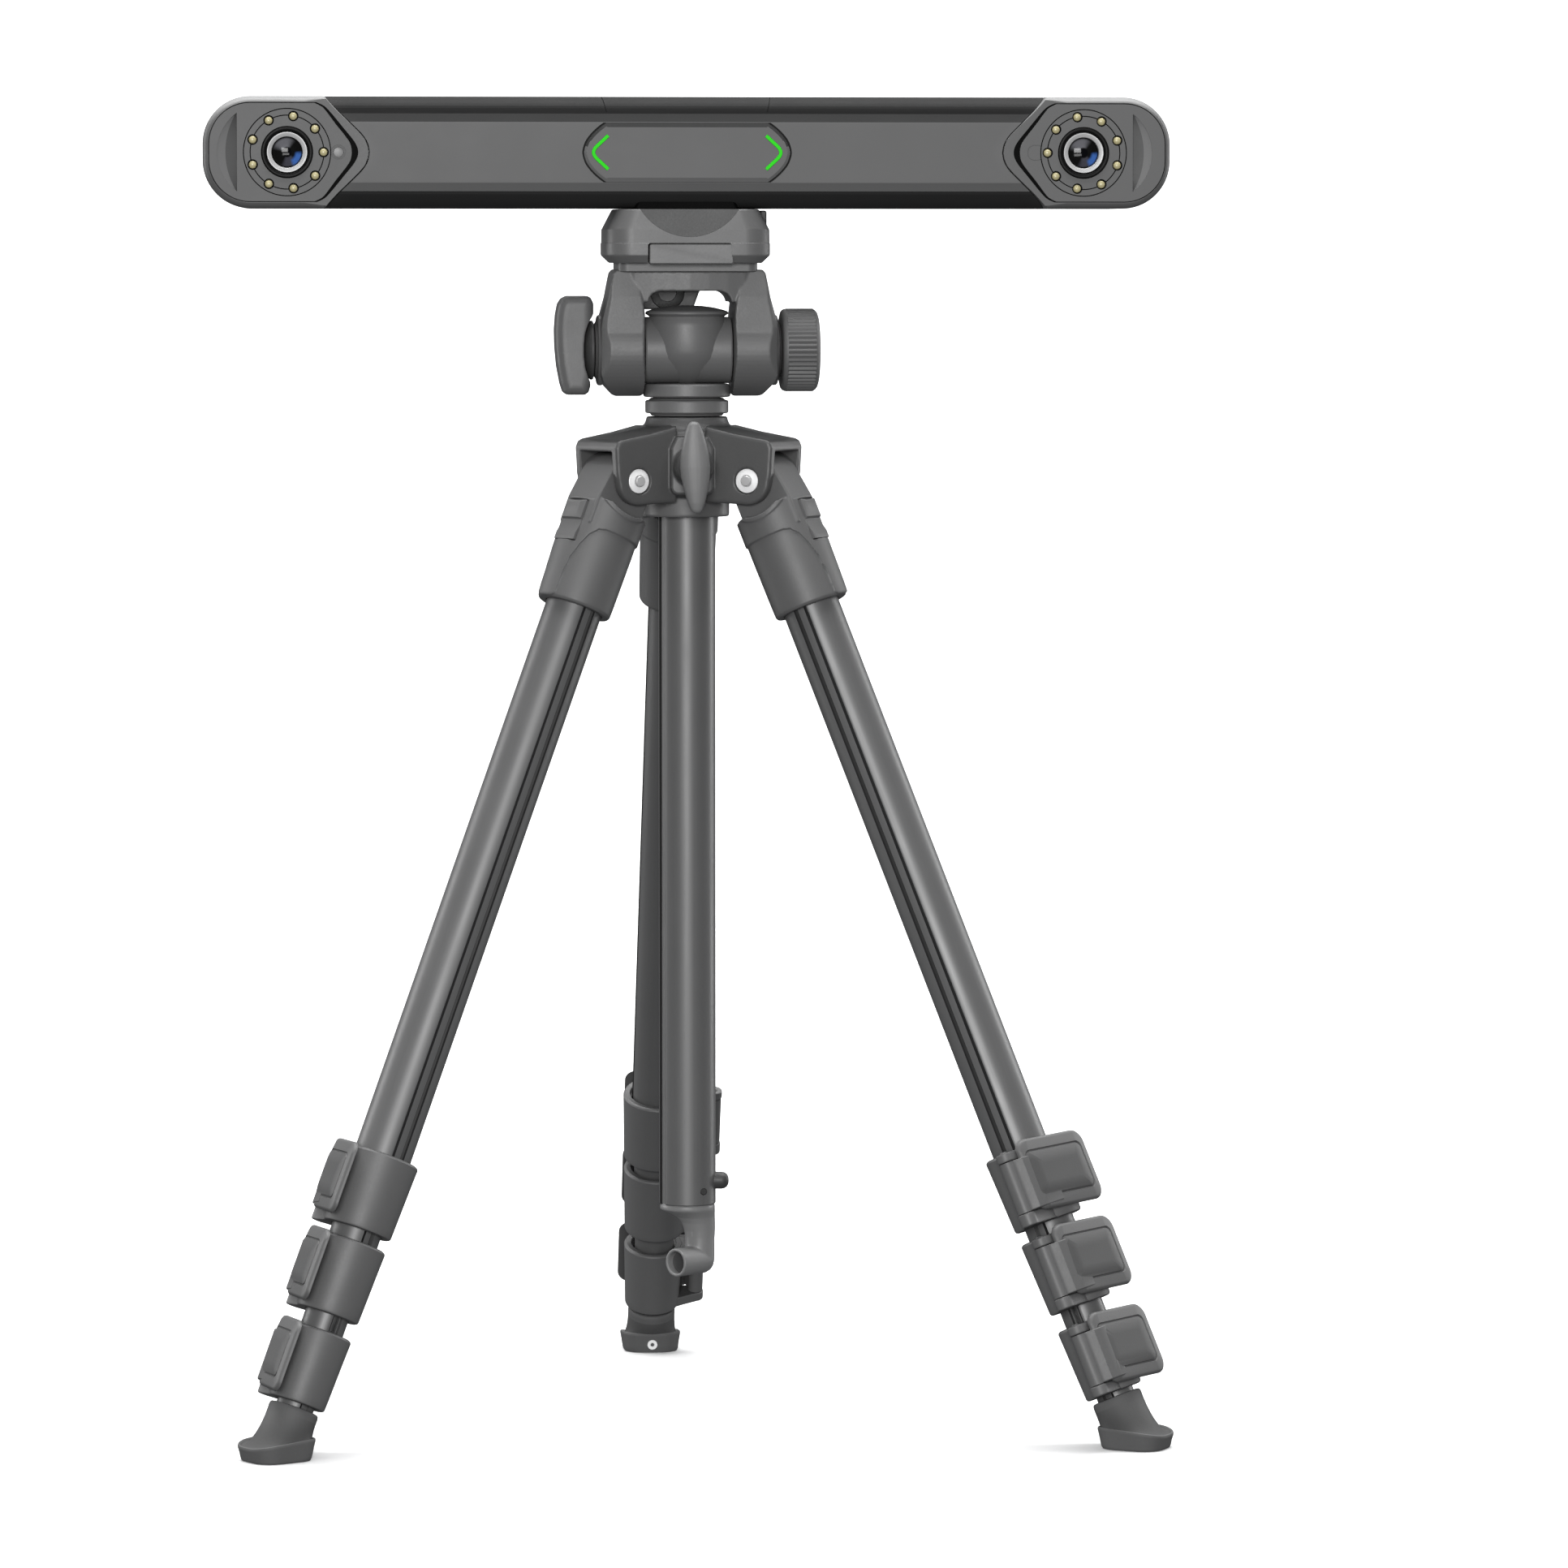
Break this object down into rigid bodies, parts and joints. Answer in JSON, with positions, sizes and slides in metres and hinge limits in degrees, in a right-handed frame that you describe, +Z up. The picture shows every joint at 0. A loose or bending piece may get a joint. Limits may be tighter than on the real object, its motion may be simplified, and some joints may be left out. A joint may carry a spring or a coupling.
{
  "type": "stereo optical tracker on tripod",
  "caption": "Long bar with a lens and LED ring at each end, on a pan and tilt head over a folding tripod with telescoping flip-lock legs and a sliding centre column.",
  "frame": {"origin": "on the floor under the middle of the object's box", "axes": "+Z up along the centre column, X along the bar, -Y the way the cameras look"},
  "size_m": [0.508, 0.4262, 0.6995],
  "materials": {
    "housing": "satin",
    "cap": "satin",
    "cover": "satin",
    "casting": "satin",
    "casting_plastic": "satin",
    "tube": "satin",
    "knob": "matte",
    "rubber": "matte",
    "steel": "satin",
    "lens": "gloss",
    "led": "satin",
    "light": "satin",
    "board": "satin",
    "beam": "satin",
    "black": "matte"
  },
  "bodies": {
    "crown": {"leg_crown": "casting", "left_leg_pivot_bolt": "steel", "right_leg_pivot_bolt": "steel", "back_leg_pivot_bolt": "steel"},
    "column": {"center_column": "tube", "column_hook": "casting_plastic", "pan_base": "casting"},
    "column_lock": {"column_lock_knob": "knob"},
    "pan": {"pan_body": "casting", "tilt_shaft": "steel"},
    "pan_lock": {"pan_lock_knob": "knob"},
    "tilt": {"tilt_fork": "casting", "head_platform": "casting", "mount_foot": "black", "tracker_housing": "housing", "tracker_rear_cover": "cover", "center_panel": "cover", "left_status_light": "light", "right_status_light": "light", "left_camera_cap": "cap", "right_camera_cap": "cap", "left_camera_lens": "lens", "right_camera_lens": "lens", "left_led_ring": "led", "right_led_ring": "led", "optical_beam": "beam", "main_board": "board"},
    "tilt_lock": {"tilt_lock_knob": "knob"},
    "tilt_drag": {"tilt_drag_knob": "knob"},
    "plate_release": {"plate_release_button": "knob"},
    "left_leg": {"left_leg_shoulder": "casting_plastic", "left_leg_section_1": "tube"},
    "left_leg_tab": {"left_leg_angle_tab": "knob"},
    "left_leg_lever_1": {"left_leg_lever_1": "knob"},
    "left_leg_extension_2": {"left_leg_section_2": "tube"},
    "left_leg_lever_2": {"left_leg_lever_2": "knob"},
    "left_leg_extension_3": {"left_leg_section_3": "tube"},
    "left_leg_lever_3": {"left_leg_lever_3": "knob"},
    "left_leg_extension_4": {"left_leg_section_4": "tube", "left_leg_foot": "rubber"},
    "right_leg": {"right_leg_shoulder": "casting_plastic", "right_leg_section_1": "tube"},
    "right_leg_tab": {"right_leg_angle_tab": "knob"},
    "right_leg_lever_1": {"right_leg_lever_1": "knob"},
    "right_leg_extension_2": {"right_leg_section_2": "tube"},
    "right_leg_lever_2": {"right_leg_lever_2": "knob"},
    "right_leg_extension_3": {"right_leg_section_3": "tube"},
    "right_leg_lever_3": {"right_leg_lever_3": "knob"},
    "right_leg_extension_4": {"right_leg_section_4": "tube", "right_leg_foot": "rubber"},
    "back_leg": {"back_leg_shoulder": "casting_plastic", "back_leg_section_1": "tube"},
    "back_leg_tab": {"back_leg_angle_tab": "knob"},
    "back_leg_lever_1": {"back_leg_lever_1": "knob"},
    "back_leg_extension_2": {"back_leg_section_2": "tube"},
    "back_leg_lever_2": {"back_leg_lever_2": "knob"},
    "back_leg_extension_3": {"back_leg_section_3": "tube"},
    "back_leg_lever_3": {"back_leg_lever_3": "knob"},
    "back_leg_extension_4": {"back_leg_section_4": "tube", "back_leg_foot": "rubber"}
  },
  "joints": [
    {"name": "column_lift", "type": "slide", "parent": "crown", "child": "column", "axis": [0, 0, 1], "range_m": [0, 0.28]},
    {"name": "column_lock_turn", "type": "hinge", "parent": "crown", "child": "column_lock", "pos_m": [0, -0.10233, 0.5065], "axis": [0, -1, 0], "range_deg": [-90, 90]},
    {"name": "pan_turn", "type": "hinge", "parent": "column", "child": "pan", "pos_m": [0, -0.06233, 0.5418], "axis": [0, 0, 1], "continuous": true},
    {"name": "pan_lock_turn", "type": "hinge", "parent": "pan", "child": "pan_lock", "pos_m": [-0.015, -0.03635, 0.5503], "axis": [-0.5, 0.866, 0], "range_deg": [-90, 90]},
    {"name": "tilt_nod", "type": "hinge", "parent": "pan", "child": "tilt", "pos_m": [0, -0.06233, 0.5668], "axis": [1, 0, 0], "range_deg": [-60, 90]},
    {"name": "tilt_lock_turn", "type": "hinge", "parent": "tilt", "child": "tilt_lock", "pos_m": [-0.06, -0.06233, 0.5668], "axis": [-1, 0, 0], "range_deg": [-90, 90]},
    {"name": "tilt_drag_turn", "type": "hinge", "parent": "tilt", "child": "tilt_drag", "pos_m": [0.06, -0.06233, 0.5668], "axis": [1, 0, 0], "range_deg": [-170, 170]},
    {"name": "plate_release_press", "type": "slide", "parent": "tilt", "child": "plate_release", "axis": [0, 1, 0], "range_m": [0, 0.003], "stiffness_N_per_m": 800, "springref_m": -0.0008},
    {"name": "left_leg_spread", "type": "hinge", "parent": "crown", "child": "left_leg", "pos_m": [-0.03776, -0.08413, 0.4989], "axis": [-0.5, 0.866, 0], "range_deg": [-20, 57]},
    {"name": "left_leg_tab_pull", "type": "slide", "parent": "left_leg", "child": "left_leg_tab", "axis": [-0.7963, -0.4597, 0.3931], "range_m": [0, 0.004], "stiffness_N_per_m": 600, "springref_m": -0.001},
    {"name": "left_leg_lever_1_flip", "type": "hinge", "parent": "left_leg", "child": "left_leg_lever_1", "pos_m": [-0.19102, -0.13682, 0.13602], "axis": [-0.3405, -0.1966, -0.9195], "range_deg": [0, 110]},
    {"name": "left_leg_slide_2", "type": "slide", "parent": "left_leg", "child": "left_leg_extension_2", "axis": [-0.3405, -0.1966, -0.9195], "range_m": [0, 0.3]},
    {"name": "left_leg_lever_2_flip", "type": "hinge", "parent": "left_leg_extension_2", "child": "left_leg_lever_2", "pos_m": [-0.20502, -0.14952, 0.0928], "axis": [-0.3405, -0.1966, -0.9195], "range_deg": [0, 110]},
    {"name": "left_leg_slide_3", "type": "slide", "parent": "left_leg_extension_2", "child": "left_leg_extension_3", "axis": [-0.3405, -0.1966, -0.9195], "range_m": [0, 0.3]},
    {"name": "left_leg_lever_3_flip", "type": "hinge", "parent": "left_leg_extension_3", "child": "left_leg_lever_3", "pos_m": [-0.22044, -0.16119, 0.04793], "axis": [-0.3405, -0.1966, -0.9195], "range_deg": [0, 110]},
    {"name": "left_leg_slide_4", "type": "slide", "parent": "left_leg_extension_3", "child": "left_leg_extension_4", "axis": [-0.3405, -0.1966, -0.9195], "range_m": [0, 0.3]},
    {"name": "right_leg_spread", "type": "hinge", "parent": "crown", "child": "right_leg", "pos_m": [0.03776, -0.08413, 0.4989], "axis": [-0.5, -0.866, 0], "range_deg": [-20, 57]},
    {"name": "right_leg_tab_pull", "type": "slide", "parent": "right_leg", "child": "right_leg_tab", "axis": [0.7963, -0.4597, 0.3931], "range_m": [0, 0.004], "stiffness_N_per_m": 600, "springref_m": -0.001},
    {"name": "right_leg_lever_1_flip", "type": "hinge", "parent": "right_leg", "child": "right_leg_lever_1", "pos_m": [0.16002, -0.19051, 0.13602], "axis": [0.3405, -0.1966, -0.9195], "range_deg": [0, 110]},
    {"name": "right_leg_slide_2", "type": "slide", "parent": "right_leg", "child": "right_leg_extension_2", "axis": [0.3405, -0.1966, -0.9195], "range_m": [0, 0.3]},
    {"name": "right_leg_lever_2_flip", "type": "hinge", "parent": "right_leg_extension_2", "child": "right_leg_lever_2", "pos_m": [0.17802, -0.19629, 0.0928], "axis": [0.3405, -0.1966, -0.9195], "range_deg": [0, 110]},
    {"name": "right_leg_slide_3", "type": "slide", "parent": "right_leg_extension_2", "child": "right_leg_extension_3", "axis": [0.3405, -0.1966, -0.9195], "range_m": [0, 0.3]},
    {"name": "right_leg_lever_3_flip", "type": "hinge", "parent": "right_leg_extension_3", "child": "right_leg_lever_3", "pos_m": [0.19584, -0.2038, 0.04793], "axis": [0.3405, -0.1966, -0.9195], "range_deg": [0, 110]},
    {"name": "right_leg_slide_4", "type": "slide", "parent": "right_leg_extension_3", "child": "right_leg_extension_4", "axis": [0.3405, -0.1966, -0.9195], "range_m": [0, 0.3]},
    {"name": "back_leg_spread", "type": "hinge", "parent": "crown", "child": "back_leg", "pos_m": [0, -0.01873, 0.4989], "axis": [1, 0, 0], "range_deg": [-20, 57]},
    {"name": "back_leg_tab_pull", "type": "slide", "parent": "back_leg", "child": "back_leg_tab", "axis": [0, 0.9195, 0.3931], "range_m": [0, 0.004], "stiffness_N_per_m": 600, "springref_m": -0.001},
    {"name": "back_leg_lever_1_flip", "type": "hinge", "parent": "back_leg", "child": "back_leg_lever_1", "pos_m": [0.031, 0.14034, 0.13602], "axis": [0, 0.3931, -0.9195], "range_deg": [0, 110]},
    {"name": "back_leg_slide_2", "type": "slide", "parent": "back_leg", "child": "back_leg_extension_2", "axis": [0, 0.3931, -0.9195], "range_m": [0, 0.3]},
    {"name": "back_leg_lever_2_flip", "type": "hinge", "parent": "back_leg_extension_2", "child": "back_leg_lever_2", "pos_m": [0.027, 0.15882, 0.0928], "axis": [0, 0.3931, -0.9195], "range_deg": [0, 110]},
    {"name": "back_leg_slide_3", "type": "slide", "parent": "back_leg_extension_2", "child": "back_leg_extension_3", "axis": [0, 0.3931, -0.9195], "range_m": [0, 0.3]},
    {"name": "back_leg_lever_3_flip", "type": "hinge", "parent": "back_leg_extension_3", "child": "back_leg_lever_3", "pos_m": [0.0246, 0.178, 0.04793], "axis": [0, 0.3931, -0.9195], "range_deg": [0, 110]},
    {"name": "back_leg_slide_4", "type": "slide", "parent": "back_leg_extension_3", "child": "back_leg_extension_4", "axis": [0, 0.3931, -0.9195], "range_m": [0, 0.3]}
  ]
}
